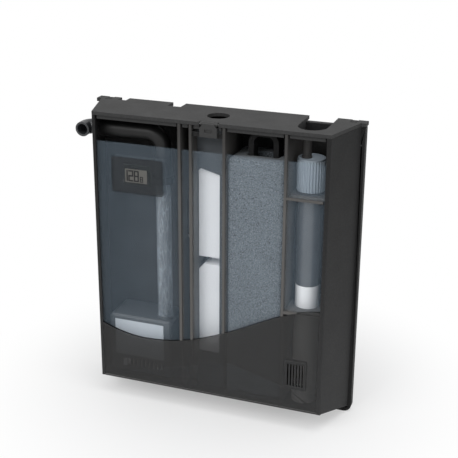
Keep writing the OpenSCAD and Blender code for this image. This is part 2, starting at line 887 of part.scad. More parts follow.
module pump_body() {
    front_y = pump_y + pump_cover_t;
    back_y = pump_y + pump_d;
    well_r = magnet_d / 2 + well_gap;
    chamber_r = impeller_d / 2 + well_gap;
    coil_x0 = pump_x - pump_w / 2 + pump_wall;
    color("#46484b") difference() {
        union() {
            pump_block(front_y, back_y);
            translate([riser_x, pipe_y, pump_z + pump_h - 12]) cylinder(r = socket_r, h = 14);
        }
        // impeller chamber, rotor well and the shaft's seat
        translate([impeller_x - impeller_w / 2 - well_gap, rotor_y, rotor_z]) {
            rod_x(chamber_r, impeller_w + 2 * well_gap);
        }
        translate([magnet_right_x - magnet_l - 1, rotor_y, rotor_z]) rod_x(well_r, magnet_l + 3);
        translate([shaft_left_x - 0.5, rotor_y, rotor_z]) rod_x(bush_r, shaft_l + 1);
        // water's way up into the riser tube, with its socket
        translate([riser_x, pipe_y, rotor_z]) cylinder(r = riser_r - riser_wall, h = pump_h);
        translate([riser_x, pipe_y, riser_bottom_z]) cylinder(r = riser_r + run, h = pump_h);
        // inlet plenum behind the slotted cover, open to the impeller's eye
        translate([pump_x - pump_w / 2 + pump_wall, front_y - over, pump_z + pump_wall]) {
            cube([pump_w - 2 * pump_wall, 4 + over, plenum_h - pump_wall]);
        }
        translate([impeller_x + impeller_w / 2 + 0.3, front_y - over, pump_z + pump_wall]) {
            cube([eye_w, 4 + over, rotor_z + eye_h / 2 - pump_z - pump_wall]);
        }
        translate([impeller_x + impeller_w / 2 + 0.3, front_y - over, rotor_z - eye_h / 2]) {
            cube([eye_w, rotor_y - bush_r - 0.2 - front_y + over, eye_h]);
        }
        // sealed pocket for the coil, round the rotor well
        difference() {
            translate([coil_x0, front_y + coil_front, pump_z + coil_rise]) {
                cube([coil_right_x - coil_x0, coil_depth, coil_h]);
            }
            translate([coil_x0 - over, rotor_y, rotor_z]) {
                rod_x(well_r + 1, coil_right_x - coil_x0 + 2 * over);
            }
        }
    }
}

module pump_cover() {
    color("#4b4d50") difference() {
        cover_block();
        // bare panel's recess
        translate([face_plate_x - face_plate_w / 2 - 0.1, pump_y - over, face_plate_z - 0.1]) {
            cube([face_plate_w + 0.2, face_plate_t + over, face_plate_h + 0.2]);
        }
        // inlet slots, the tab's slot and the shutter's pocket
        translate([pump_x + slots_shift, pump_y - over, pump_slot_z + pump_slot_h / 2]) {
            slot_row(pump_slots, slot_pitch, pump_slot_w, pump_slot_h, pump_cover_t + 2 * over);
        }
        translate([pump_x - pump_w / 2 + 17, pump_y - over, pump_slot_z]) {
            cube([10, pump_cover_t, pump_slot_h]);
        }
        translate([pump_x - pump_w / 2 + 5, pump_y + 3, pump_slot_z - 2.5]) {
            cube([pump_w - 10, pump_cover_t, pump_slot_h + 5]);
        }
    }
}

module pump_face_plate() {
    color("#a9b3bd") translate([face_plate_x - face_plate_w / 2, pump_y, face_plate_z]) {
        cube([face_plate_w, face_plate_t, face_plate_h]);
    }
}

// Slotted sheet behind the inlet slots, with the tab that slides it
module flow_shutter() {
    x0 = pump_x - pump_w / 2 + 6;
    color("#2d2e30") {
        difference() {
            translate([x0, pump_y + 3.2, pump_slot_z - 2.2]) {
                cube([pump_w - 16, shutter_t, pump_slot_h + 4.4]);
            }
            translate([pump_x + slots_shift - slot_pitch / 2, pump_y, pump_slot_z + pump_slot_h / 2]) {
                slot_row(pump_slots, slot_pitch, pump_slot_w, pump_slot_h, pump_cover_t + 2 * over);
            }
        }
        translate([pump_x - pump_w / 2 + 18, pump_y - 1, pump_slot_z + 0.4]) {
            cube([4.5, 4.3, pump_slot_h - 0.8]);
        }
    }
}

module impeller() {
    hub_r = 4;
    blade_t = 1.2;
    x0 = impeller_x - impeller_w / 2;
    color("#e8e8ea") translate([x0, rotor_y, rotor_z]) difference() {
        union() {
            rod_x(hub_r, impeller_w);
            rod_x(impeller_d / 2, 1.2);
            for (i = [0 : blades - 1]) {
                rotate([i * 360 / blades, 0, 0]) translate([0, -blade_t / 2, 0]) {
                    cube([impeller_w, blade_t, impeller_d / 2 - 0.2]);
                }
            }
            translate([-1.5, 0, 0]) rod_x(hub_r, 2);
        }
        translate([-over - 1.5, 0, 0]) rod_x(shaft_d / 2 + run, impeller_w + 2 * over + 1.5);
    }
}

module rotor_magnet() {
    color("#3a3230") translate([magnet_right_x - magnet_l, rotor_y, rotor_z]) difference() {
        rod_x(magnet_d / 2, magnet_l);
        translate([-over, 0, 0]) rod_x(shaft_d / 2 + run, magnet_l + 2 * over);
    }
}

module rotor_shaft() {
    color("#f1efe8") translate([shaft_left_x, rotor_y, rotor_z]) rod_x(shaft_d / 2, shaft_l);
}

module shaft_bushes() {
    bush_l = 2.4;
    color("#26282a") for (x = [shaft_left_x, shaft_left_x + shaft_l - bush_l]) {
        translate([x, rotor_y, rotor_z]) difference() {
            rod_x(bush_r, bush_l);
            translate([-over, 0, 0]) rod_x(shaft_d / 2, bush_l + 2 * over);
        }
    }
}

module stator_block() {
    well_r = magnet_d / 2 + well_gap;
    x0 = pump_x - pump_w / 2 + pump_wall + seat;
    x1 = coil_right_x - seat;
    y0 = pump_y + pump_cover_t + coil_front + seat;
    color("#8a5a3a") difference() {
        translate([x0, y0, pump_z + coil_rise + seat]) {
            cube([x1 - x0, coil_depth - 2 * seat, coil_h - 2 * seat]);
        }
        translate([x0 - over, rotor_y, rotor_z]) rod_x(well_r + 1 + seat, x1 - x0 + 2 * over);
    }
}

module pump_feet() {
    color("#1d1d1f") for (x = [-1, 1], y = [pump_y + 6, pump_y + pump_d - 6]) {
        translate([pump_x + x * (pump_w / 2 - 9), y, floor_t]) cylinder(r = 5, h = pump_foot_h);
    }
}

// ---------- pipework ----------

module riser_tube() {
    color("#c6d0da", 0.5) translate([riser_x, pipe_y, 0]) difference() {
        union() {
            translate([0, 0, riser_bottom_z]) cylinder(r = riser_r, h = riser_top_z - riser_bottom_z);
            translate([0, 0, pump_z + pump_h + 2.2]) cylinder(r = riser_r + 0.7, h = 3);
        }
        translate([0, 0, riser_bottom_z - over]) {
            cylinder(r = riser_r - riser_wall, h = riser_top_z - riser_bottom_z + 2 * over);
        }
    }
}

// Round section of radius r swept from z up, round the bend and out to the left as far as x
module elbow_run(r, z, x) {
    bend_x = riser_x - elbow_bend_r;
    bend_z = outlet_z - elbow_bend_r;
    translate([riser_x, pipe_y, z]) cylinder(r = r, h = bend_z - z);
    translate([bend_x, pipe_y, bend_z]) rotate([90, 0, 0]) {
        rotate_extrude(angle = 90) translate([elbow_bend_r, 0]) circle(r);
    }
    translate([bend_x, pipe_y, outlet_z]) rotate([0, -90, 0]) cylinder(r = r, h = bend_x - x);
}

module elbow_pipe() {
    socket_top_z = sleeve_top_z - 1;
    color("#2b2b2c") difference() {
        union() {
            difference() {
                union() {
                    elbow_run(elbow_r, sleeve_bottom_z, elbow_left_x);
                    translate([riser_x, pipe_y, sleeve_bottom_z]) {
                        cylinder(r = sleeve_r, h = sleeve_top_z - sleeve_bottom_z);
                    }
                }
                translate([riser_x, pipe_y, sleeve_bottom_z - over]) {
                    cylinder(r = riser_r + run, h = socket_top_z - sleeve_bottom_z + over);
                }
            }
            translate([riser_x, pipe_y, spigot_bottom_z]) {
                cylinder(r = riser_r - riser_wall - run, h = sleeve_top_z - spigot_bottom_z);
            }
        }
        elbow_run(elbow_bore_r, spigot_bottom_z - over, elbow_left_x - over);
        translate([elbow_left_x - over, pipe_y, outlet_z]) rod_x(spigot_r + run, spigot_l + over);
    }
}

// Rubber ring between the wall and the elbow's end, round the nozzle's neck
module wall_grommet() {
    color("#1b1b1c") intersection() {
        translate([-half_w(box_d), pipe_y, outlet_z]) difference() {
            rod_x(elbow_r + 1.2, elbow_left_x + half_w(box_d) - 0.05);
            translate([-over, 0, 0]) rod_x(nozzle_r + 0.1, box_d);
        }
        linear_extrude(box_h) box_plan(0, box_d, wall_t + 0.02);
    }
}

// Section of radius r from the neck round to the mouth, which faces forwards
module nozzle_run(r, mouth_l) {
    translate([0, -nozzle_bend_r, 0]) rotate([0, 0, 90]) {
        rotate_extrude(angle = 90) translate([nozzle_bend_r, 0]) circle(r);
    }
    translate([-nozzle_bend_r, -nozzle_bend_r, 0]) rotate([90, 0, 0]) cylinder(r = r, h = mouth_l);
}

module outlet_nozzle() {
    mouth_l = 6;
    bend_x = -side_x - nozzle_neck;
    neck_l = elbow_left_x - seat - bend_x;
    color("#3a3c3e") translate([bend_x, pipe_y, outlet_z]) rotate([nozzle_dip, 0, 0]) difference() {
        union() {
            rod_x(nozzle_r, neck_l);
            rod_x(spigot_r, neck_l + spigot_l);
            nozzle_run(nozzle_r, mouth_l);
        }
        rod_x(mouth_d / 2, neck_l + spigot_l + over);
        nozzle_run(mouth_d / 2, mouth_l + over);
    }
}

// ---------- cartridges ----------

// Outline of a cartridge, with its top left corner cut off
module cartridge_outline(inset) {
    w = cartridge_w / 2 - inset;
    h = cartridge_h - inset;
    polygon([
        [-w, inset], [w, inset], [w, h],
        [-w + cartridge_corner_w, h], [-w, h - cartridge_corner_h]
    ]);
}

module cartridge(z) {
    port = 9;
    translate([cartridge_x, 0, z]) {
        difference() {
            front_slab(cartridge_y, cartridge_d) cartridge_outline(0);
            front_slab(cartridge_y + cartridge_wall, cartridge_d - 2 * cartridge_wall) {
                cartridge_outline(cartridge_wall);
            }
            // water ports through both sides, towards the back
            for (row = [0 : 4]) {
                translate([-cartridge_w, cartridge_y + cartridge_d - 14, 14 + row * 17]) {
                    cube([2 * cartridge_w, port, port]);
                }
            }
        }
        // rib that carries the next cartridge and serves as a grip
        translate([-4, cartridge_y + 16, cartridge_h - 0.01]) cube([10, 4, stack_rib_h + 0.01]);
    }
}

module cartridge_core(z) {
    translate([cartridge_x, 0, z]) {
        front_slab(cartridge_y + cartridge_wall + seat, cartridge_d - 2 * cartridge_wall - 2 * seat) {
            cartridge_outline(cartridge_wall + seat);
        }
    }
}

module cartridge_upper() {
    color("#e4e8ee") cartridge(upper_z);
}

module core_upper() {
    color("#8c8478") cartridge_core(upper_z);
}

module cartridge_lower() {
    color("#e4e8ee") cartridge(cartridge_floor_z);
}

module core_lower() {
    color("#8c8478") cartridge_core(cartridge_floor_z);
}

// ---------- foam ----------

module foam_block() {
    w = foam_bay_w - 2 * foam_clear;
    d = back_in - part_y - 2 * foam_clear;
    color("#74797e") translate([foam_x - w / 2, part_y + foam_clear, foam_floor_z]) difference() {
        front_slab(0, d) {
            round_rect(w, foam_h, foam_r);
            square([w, foam_h / 2]);
        }
        // pocket for the handle's foot
        translate([w / 2 + handle_x - foam_x - handle_w / 2 - seat, (d - strap_t) / 2 - seat, foam_h - 14]) {
            cube([handle_w + 2 * seat, strap_t + 2 * seat, 15]);
        }
    }
}

// Arched strap whose foot is set in the top of the foam
module foam_handle() {
    top_z = foam_floor_z + foam_h;
    rise = 24;
    d = back_in - part_y;
    color("#343434") front_slab(part_y + (d - strap_t) / 2, strap_t) {
        difference() {
            translate([handle_x - handle_w / 2, top_z - 13]) round_rect(handle_w, rise + 13, 9);
            translate([handle_x - handle_w / 2 + strap_w, top_z - 7]) {
                round_rect(handle_w - 2 * strap_w, rise + 7 - strap_w / 2, 6);
            }
        }
    }
}

// ---------- heater ----------

module heater_tube() {
    z0 = heater_bottom_z + end_cap_h;
    color("#5d6268") translate([heater_x, heater_y, z0]) difference() {
        cylinder(r = heater_d / 2, h = tube_top_z - z0);
        translate([0, 0, -over]) cylinder(r = heater_d / 2 - heater_wall, h = tube_top_z - z0 - 4 + over);
    }
}

// Ribbed ring that turns round the heater's neck
module heater_dial() {
    rib_r = 1;
    r = dial_d / 2 - rib_r;
    color("#7a828a") translate([heater_x, heater_y, dial_z]) difference() {
        union() {
            cylinder(r = r, h = dial_h);
            for (i = [0 : dial_ribs - 1]) {
                rotate([0, 0, i * 360 / dial_ribs]) translate([r, 0, 0]) {
                    cylinder(r = rib_r, h = dial_h - 2, $fn = 16);
                }
            }
        }
        translate([0, 0, -over]) cylinder(r = neck_r + run, h = dial_h + 2 * over);
    }
}

// Neck that the dial turns round, with the cable's gland standing on it
// Pale plug in the top of the tube, which the dial turns round
module heater_neck() {
    color("#8a929a") translate([heater_x, heater_y, tube_top_z]) cylinder(r = neck_r, h = neck_h);
}

// Dark post on that plug, through which the cord comes out
module heater_gland() {
    neck_top_z = tube_top_z + neck_h;
    color("#343536") translate([heater_x - gland_shift, heater_y, neck_top_z]) {
        cylinder(r = gland_d / 2, h = gland_top_z - neck_top_z);
        cylinder(r = gland_d / 2 + 0.8, h = 1.6);
    }
}

module heater_end_cap() {
    color("#dfe4ea") translate([heater_x, heater_y, heater_bottom_z]) {
        cylinder(r = heater_d / 2, h = end_cap_h);
        cylinder(r = heater_d / 2 - heater_wall, h = end_cap_h + end_cap_plug);
    }
}

module heater_core() {
    z0 = heater_bottom_z + end_cap_h + end_cap_plug + seat;
    groove_r = 1.4;
    color("#b98a5a") translate([heater_x, heater_y, z0]) difference() {
        cylinder(r = heater_core_r, h = tube_top_z - z0 - 4 - seat);
        for (i = [0 : 5]) {
            rotate([0, 0, i * 60]) translate([heater_core_r, 0, -over]) {
                cylinder(r = groove_r, h = tube_top_z, $fn = 24);
            }
        }
    }
}

// ---------- lid ----------

// Plan of the notch above the heater, grown by grow and running back to y
module notch_plan(grow, y) {
    r = heater_notch_w / 2;
    translate([heater_x, notch_front_y + r]) circle(r + grow);
    translate([heater_x - r - grow, notch_front_y + r]) square([2 * (r + grow), y - notch_front_y - r]);
}

module lid_plan() {
    difference() {
        union() {
            box_plan(0, box_d);
            translate([-lid_ear_w / 2, box_d - 2]) square([lid_ear_w, lid_rear_y - box_d + 2]);
        }
        notch_plan(0, total_d + over);
        // cord notches in the rear edge
        translate([cord_notch_x - cord_notch_w / 2, lid_rear_y - cord_notch_d]) {
            square([cord_notch_w, cord_notch_d + over]);
        }
        translate([small_notch_x - small_notch_w / 2, lid_rear_y - small_notch_d]) {
            square([small_notch_w, small_notch_d + over]);
        }
        // finger hole, latch notch and the slots for the hinge lugs
        translate([finger_x, finger_y]) circle(finger_hole_d / 2);
        translate([latch_x - latch_notch_w / 2, -over]) {
            square([latch_notch_w, latch_y + latch_barrel_r + 0.5 + over]);
        }
        for (x = [-hinge_lug_x, hinge_lug_x]) {
            translate([x - hinge_lug_w / 2 - seat, back_in - seat]) {
                square([hinge_lug_w + 2 * seat, total_d]);
            }
        }
    }
}

// Down-turned lip behind the front edge, between two posts
module lip(x0, x1) {
    translate([x0, lip_y, lid_z - lip_h]) cube([x1 - x0, lip_t, lip_h + 0.01]);
}

module lid() {
    side_gap = 1.8;
    posts = concat([-front_w / 2], partition_x, [front_w / 2 - right_post_w]);
    widths = concat([left_post_w], [for (x = partition_x) partition_t]);
    color("#505050") difference() {
        union() {
            translate([0, 0, lid_z]) linear_extrude(lid_t) lid_plan();
            for (i = [0 : 4]) {
                x0 = posts[i] + widths[i] + side_gap;
                x1 = posts[i + 1] - side_gap;
                if (i == 2) {
                    lip(x0, latch_x - latch_notch_w / 2);
                    lip(latch_x + latch_notch_w / 2, x1);
                } else {
                    lip(x0, x1);
                }
            }
        }
        // seats of the hinge pins and the latch pin
        for (side = [-1, 1]) {
            translate([side * hinge_lug_x - hinge_pin_l / 2, hinge_y, hinge_z]) {
                rod_x(hinge_pin_d / 2, hinge_pin_l);
            }
        }
        translate([latch_x - latch_pin_l / 2, latch_y, latch_z]) rod_x(latch_pin_d / 2, latch_pin_l);
    }
}

// Upright rim under the lid, round the heater notch
module heater_notch_rim() {
    color("#505050") translate([0, 0, lid_z - notch_rim_h]) linear_extrude(notch_rim_h) difference() {
        notch_plan(notch_rim_t, back_in - 1);
        notch_plan(0, total_d);
    }
}

module hinge_pins() {
    color("#b8bbc0") for (side = [-1, 1]) {
        translate([side * hinge_lug_x - hinge_pin_l / 2, hinge_y, hinge_z]) {
            rod_x(hinge_pin_d / 2, hinge_pin_l);
        }
    }
}

module latch() {
    bottom_z = lid_z + lid_t + 0.6 - latch_h;
    neck = 4.5;
    shoulder_z = latch_z - 4;
    color("#3c3c3c") difference() {
        union() {
            translate([latch_x - latch_w / 2, latch_y, latch_z]) rod_x(latch_barrel_r, latch_w);
            front_slab(latch_face_y, latch_t) polygon([
                [latch_x - latch_w / 2, bottom_z],
                [latch_x + latch_w / 2, bottom_z],
                [latch_x + latch_w / 2, shoulder_z],
                [latch_x + latch_w / 2 - neck, latch_z + 1],
                [latch_x - latch_w / 2 + neck, latch_z + 1],
                [latch_x - latch_w / 2, shoulder_z]
            ]);
            translate([latch_x - latch_w / 2 + neck, latch_face_y, latch_z - 1.5]) {
                cube([latch_w - 2 * neck, latch_y - latch_face_y, 2.5]);
            }
            // bead that snaps over the keeper
            translate([latch_x - latch_w / 2 + 3, latch_face_y + latch_t, bottom_z + 3]) {
                rod_x(latch_bead_r, latch_w - 6);
            }
        }
        // grip slot in the face
        translate([latch_x - 4.5, latch_face_y - over, latch_z - 9.4]) cube([9, over + 1.2, 4]);
        translate([latch_x - latch_w, latch_y, latch_z]) rod_x(latch_pin_d / 2 + run, 2 * latch_w);
    }
}

module latch_pin() {
    color("#b8bbc0") translate([latch_x - latch_pin_l / 2, latch_y, latch_z]) {
        rod_x(latch_pin_d / 2, latch_pin_l);
    }
}

from_box() mounting_plate();
from_box() housing_shell();
from_box() front_window();
from_box() wave_fascia();
from_box() intake_grille();
from_box() partition_pump();
from_box() partition_channel();
from_box() partition_cartridge();
from_box() partition_foam();
from_box() media_rack();
from_box() heater_shelf();
from_box() heater_clip();
from_box() intake_strainer();
from_box() foam_grate();
from_box() latch_keeper();
from_box() thermometer_case();
from_box() thermometer_back();
from_box() display_lens();
from_box() display_digits();
from_box() thermometer_board();
from_box() button_cell();
from_box() temperature_sensor();
from_box() pump_body();
from_box() pump_cover();
from_box() pump_face_plate();
from_box() flow_shutter();
from_box() impeller();
from_box() rotor_magnet();
from_box() rotor_shaft();
from_box() shaft_bushes();
from_box() stator_block();
from_box() pump_feet();
from_box() riser_tube();
from_box() elbow_pipe();
from_box() wall_grommet();
from_box() outlet_nozzle();
from_box() cartridge_upper();
from_box() core_upper();
from_box() cartridge_lower();
from_box() core_lower();
from_box() foam_block();
from_box() foam_handle();
from_box() heater_tube();
from_box() heater_dial();
from_box() heater_neck();
from_box() heater_gland();
from_box() heater_end_cap();
from_box() heater_core();
from_box() lid();
from_box() heater_notch_rim();
from_box() hinge_pins();
from_box() latch();
from_box() latch_pin();
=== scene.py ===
import json
import math

import bmesh
import bpy
from mathutils import Matrix, Vector, noise


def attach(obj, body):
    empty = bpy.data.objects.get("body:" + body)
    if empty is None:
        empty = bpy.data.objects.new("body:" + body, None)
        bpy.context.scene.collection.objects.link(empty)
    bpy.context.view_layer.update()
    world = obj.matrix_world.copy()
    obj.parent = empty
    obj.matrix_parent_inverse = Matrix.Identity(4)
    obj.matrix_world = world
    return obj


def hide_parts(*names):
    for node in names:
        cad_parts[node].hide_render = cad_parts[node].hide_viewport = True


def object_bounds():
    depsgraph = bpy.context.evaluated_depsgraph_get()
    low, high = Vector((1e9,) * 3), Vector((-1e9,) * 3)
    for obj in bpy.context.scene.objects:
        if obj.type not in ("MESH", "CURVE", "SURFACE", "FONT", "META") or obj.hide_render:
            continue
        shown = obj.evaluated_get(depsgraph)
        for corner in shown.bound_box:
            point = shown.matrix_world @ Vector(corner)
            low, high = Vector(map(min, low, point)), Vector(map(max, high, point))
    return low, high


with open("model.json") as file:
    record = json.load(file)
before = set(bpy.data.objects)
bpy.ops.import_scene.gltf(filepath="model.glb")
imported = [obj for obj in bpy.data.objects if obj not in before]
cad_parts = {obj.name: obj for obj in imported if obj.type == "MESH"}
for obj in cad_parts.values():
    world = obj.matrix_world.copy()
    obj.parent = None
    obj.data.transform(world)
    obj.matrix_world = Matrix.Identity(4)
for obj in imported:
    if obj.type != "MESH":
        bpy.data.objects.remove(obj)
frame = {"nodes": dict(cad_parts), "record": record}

cad_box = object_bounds()
scene = bpy.context.scene
nodes = frame["nodes"]
MM = 0.001


# ---------- shader node helpers ----------

def connect(tree, source, target):
    """source is a socket or a number, target a socket."""
    if isinstance(source, (int, float)):
        target.default_value = source
    else:
        tree.links.new(source, target)


def maths(tree, operation, a, b=0.0, c=0.0):
    node = tree.nodes.new("ShaderNodeMath")
    node.operation = operation
    for value, socket in zip((a, b, c), node.inputs):
        connect(tree, value, socket)
    return node.outputs[0]


def about_zero(tree, value):
    """A noise value from 0 to 1, moved so that it lies round 0."""
    return maths(tree, "SUBTRACT", value, 0.5)


def ramp(tree, value, low, high, out_low=0.0, out_high=1.0, smooth=False):
    """out_low where the value is low, out_high where it is high, and even steps between."""
    node = tree.nodes.new("ShaderNodeMapRange")
    if smooth:
        node.interpolation_type = "SMOOTHSTEP"
    connect(tree, value, node.inputs["Value"])
    node.inputs["From Min"].default_value = low
    node.inputs["From Max"].default_value = high
    node.inputs["To Min"].default_value = out_low
    node.inputs["To Max"].default_value = out_high
    return node.outputs[0]


def piece_coordinates(tree):
    """The place of a point on its own piece, which stays the same when the piece moves."""
    return tree.nodes.new("ShaderNodeTexCoord").outputs["Object"]


def z_of(tree, vector):
    """The z value of a place or a normal."""
    split = tree.nodes.new("ShaderNodeSeparateXYZ")
    tree.links.new(vector, split.inputs[0])
    return split.outputs["Z"]


def spots(tree, scale, detail=2.0, stretch=None, roughness=0.5):
    """Soft random spots. scale is spots per metre, as a number or a socket."""
    where = piece_coordinates(tree)
    if stretch:
        mapping = tree.nodes.new("ShaderNodeMapping")
        mapping.inputs["Scale"].default_value = stretch
        tree.links.new(where, mapping.inputs["Vector"])
        where = mapping.outputs[0]
    node = tree.nodes.new("ShaderNodeTexNoise")
    tree.links.new(where, node.inputs["Vector"])
    connect(tree, scale, node.inputs["Scale"])
    node.inputs["Detail"].default_value = detail
    node.inputs["Roughness"].default_value = roughness
    return node.outputs["Fac"]


def cell_distance(tree, cells_per_metre):
    """Distance from the middle of the nearest of many random cells."""
    node = tree.nodes.new("ShaderNodeTexVoronoi")
    tree.links.new(piece_coordinates(tree), node.inputs["Vector"])
    tree.links.new(cells_per_metre, node.inputs["Scale"])
    return node.outputs["Distance"]


def shade(tree, colour, factor):
    """colour times a number that varies over the surface."""
    node = tree.nodes.new("ShaderNodeVectorMath")
    node.operation = "SCALE"
    tree.links.new(colour, node.inputs[0])
    tree.links.new(factor, node.inputs["Scale"])
    return node.outputs[0]


def blend_to(tree, mask, source, colour):
    """source where the mask is 0, the plain colour where it is 1."""
    node = tree.nodes.new("ShaderNodeMix")
    node.data_type = "RGBA"
    # numbers, vectors and colours have sockets of the same name, so these are taken by place
    factor, first, second, mixed = node.inputs[0], node.inputs[6], node.inputs[7], node.outputs[2]
    tree.links.new(mask, factor)
    tree.links.new(source, first)
    second.default_value = (*colour, 1)
    return mixed


def mix_shaders(tree, share, first, second, target):
    node = tree.nodes.new("ShaderNodeMixShader")
    for source, socket in zip((share, first, second), node.inputs):
        tree.links.new(source, socket)
    tree.links.new(node.outputs[0], target)


# ---------- camera, floor and light ----------

SOFT_WHITE = (0.97, 0.985, 1, 1)      # colour and strength of the light from all round
SOFT_STRENGTH = 0.42
PAPER_GREY = (0.82, 0.82, 0.82, 1)
PAPER_REACH = 6
PAPER_PLAIN = (0.08, 0.34)            # distances over which the paper goes over to plain white
PAPER_PLAIN_SHARE = (0.4, 1)          # and its share of white at those distances


def add_camera():
    """A long lens, a little above the box and to its right."""
    turn, rise, roll = 0.3473, 0.3628, 0.0066
    place = Vector((0.388975, -1.073861, 0.467353))
    back = Vector((
        math.sin(turn) * math.cos(rise), -math.cos(turn) * math.cos(rise), math.sin(rise)
    ))
    level = Vector((math.cos(turn), math.sin(turn), 0))
    upright = back.cross(level)
    right = level * math.cos(roll) + upright * math.sin(roll)
    up = upright * math.cos(roll) - level * math.sin(roll)
    lens = bpy.data.cameras.new("camera")
    lens.lens = 81.40
    lens.sensor_width = 36
    camera = bpy.data.objects.new("camera", lens)
    scene.collection.objects.link(camera)
    camera.matrix_world = Matrix((
        (right.x, up.x, back.x, place.x),
        (right.y, up.y, back.y, place.y),
        (right.z, up.z, back.z, place.z),
        (0, 0, 0, 1),
    ))
    scene.camera = camera


def seen_or_reflected(tree):
    """1 for rays from the camera, off gloss or through glass, 0 for those that light the object."""
    path = tree.nodes.new("ShaderNodeLightPath").outputs
    seen = maths(tree, "MAXIMUM", path["Is Camera Ray"], path["Is Glossy Ray"])
    return maths(tree, "MAXIMUM", seen, path["Is Transmission Ray"])


def add_world():
    """White where it is seen or reflected, soft light on the object."""
    world = bpy.data.worlds.new("studio")
    scene.world = world
    world.use_nodes = True
    tree = world.node_tree
    tree.nodes.clear()
    soft = tree.nodes.new("ShaderNodeBackground")
    soft.inputs["Color"].default_value = SOFT_WHITE
    soft.inputs["Strength"].default_value = SOFT_STRENGTH
    white = tree.nodes.new("ShaderNodeBackground")
    white.inputs["Color"].default_value = (1, 1, 1, 1)
    out = tree.nodes.new("ShaderNodeOutputWorld")
    mix_shaders(tree, seen_or_reflected(tree), soft.outputs[0], white.outputs[0], out.inputs[0])


def add_lamp(name, place, width, height, watts):
    """A soft box that points at the middle of the object."""
    light = bpy.data.lights.new(name, "AREA")
    light.shape = "RECTANGLE"
    light.size = width
    light.size_y = height
    light.energy = watts
    lamp = bpy.data.objects.new(name, light)
    scene.collection.objects.link(lamp)
    lamp.location = place
    lamp.rotation_euler = (-Vector(place)).to_track_quat("-Z", "Y").to_euler()


def add_floor(z):
    """Pale paper under the object. Away from the object it turns plain white, the shadow stays."""
    mesh = bpy.data.meshes.new("floor")
    corners = [(x, y, 0) for x, y in ((-1, -1), (1, -1), (1, 1), (-1, 1))]
    mesh.from_pydata([Vector(corner) * PAPER_REACH for corner in corners], [], [(0, 1, 2, 3)])
    floor = bpy.data.objects.new("floor", mesh)
    floor.location.z = z
    scene.collection.objects.link(floor)
    paint = bpy.data.materials.new("floor paper")
    paint.use_nodes = True
    tree = paint.node_tree
    matt = tree.nodes["Principled BSDF"]
    matt.inputs["Base Color"].default_value = PAPER_GREY
    matt.inputs["Roughness"].default_value = 0.9
    matt.inputs["Specular IOR Level"].default_value = 0
    white = tree.nodes.new("ShaderNodeEmission")
    distance = tree.nodes.new("ShaderNodeVectorMath")
    distance.operation = "LENGTH"
    tree.links.new(piece_coordinates(tree), distance.inputs[0])
    plain = ramp(tree, distance.outputs["Value"], *PAPER_PLAIN, *PAPER_PLAIN_SHARE, smooth=True)
    share = maths(tree, "MULTIPLY", seen_or_reflected(tree), plain)
    out = tree.nodes["Material Output"]
    mix_shaders(tree, share, matt.outputs[0], white.outputs[0], out.inputs[0])
    mesh.materials.append(paint)


# ---------- shader groups ----------

def new_group(name, sockets_in, sockets_out):
    """An empty shader group. sockets_in is {name: start value}, a number or a colour."""
    tree = bpy.data.node_groups.new(name, "ShaderNodeTree")
    for label, value in sockets_in.items():
        kind = "NodeSocketColor" if isinstance(value, tuple) else "NodeSocketFloat"
        socket = tree.interface.new_socket(label, in_out="INPUT", socket_type=kind)
        socket.default_value = value
    for label, kind in sockets_out.items():
        tree.interface.new_socket(label, in_out="OUTPUT", socket_type=kind)
    given = tree.nodes.new("NodeGroupInput").outputs
    out = tree.nodes.new("NodeGroupOutput").inputs
    return tree, given, out


def edge_highlight_group():
    """Rounded normal of an edge, and a mask of a painted highlight along the edge, broken into
    patches.
    """
    tree, given, out = new_group(
        "painted edge highlights",
        {"Radius": 0.6 * MM},
        {"Mask": "NodeSocketFloat", "Normal": "NodeSocketVector"},
    )
    highlight_patches_per_metre = 130.0
    flat_to_edge = (0.01, 0.16)       # how far the normal has turned
    faint_to_full_highlight = (0.3, 0.62)
    faintest_highlight = 0.35
    bevel = tree.nodes.new("ShaderNodeBevel")
    bevel.samples = 6
    tree.links.new(given["Radius"], bevel.inputs["Radius"])
    flat = tree.nodes.new("ShaderNodeNewGeometry").outputs["Normal"]
    turned = tree.nodes.new("ShaderNodeVectorMath")
    turned.operation = "DOT_PRODUCT"
    tree.links.new(bevel.outputs[0], turned.inputs[0])
    tree.links.new(flat, turned.inputs[1])
    edge = ramp(tree, maths(tree, "SUBTRACT", 1.0, turned.outputs["Value"]), *flat_to_edge)
    # patches that break up the painted edge highlight
    marks = spots(tree, highlight_patches_per_metre, 4.0, roughness=0.65)
    highlight_patches = ramp(tree, marks, *faint_to_full_highlight, faintest_highlight, 1.0)
    tree.links.new(maths(tree, "MULTIPLY", edge, highlight_patches), out["Mask"])
    tree.links.new(bevel.outputs[0], out["Normal"])
    return tree


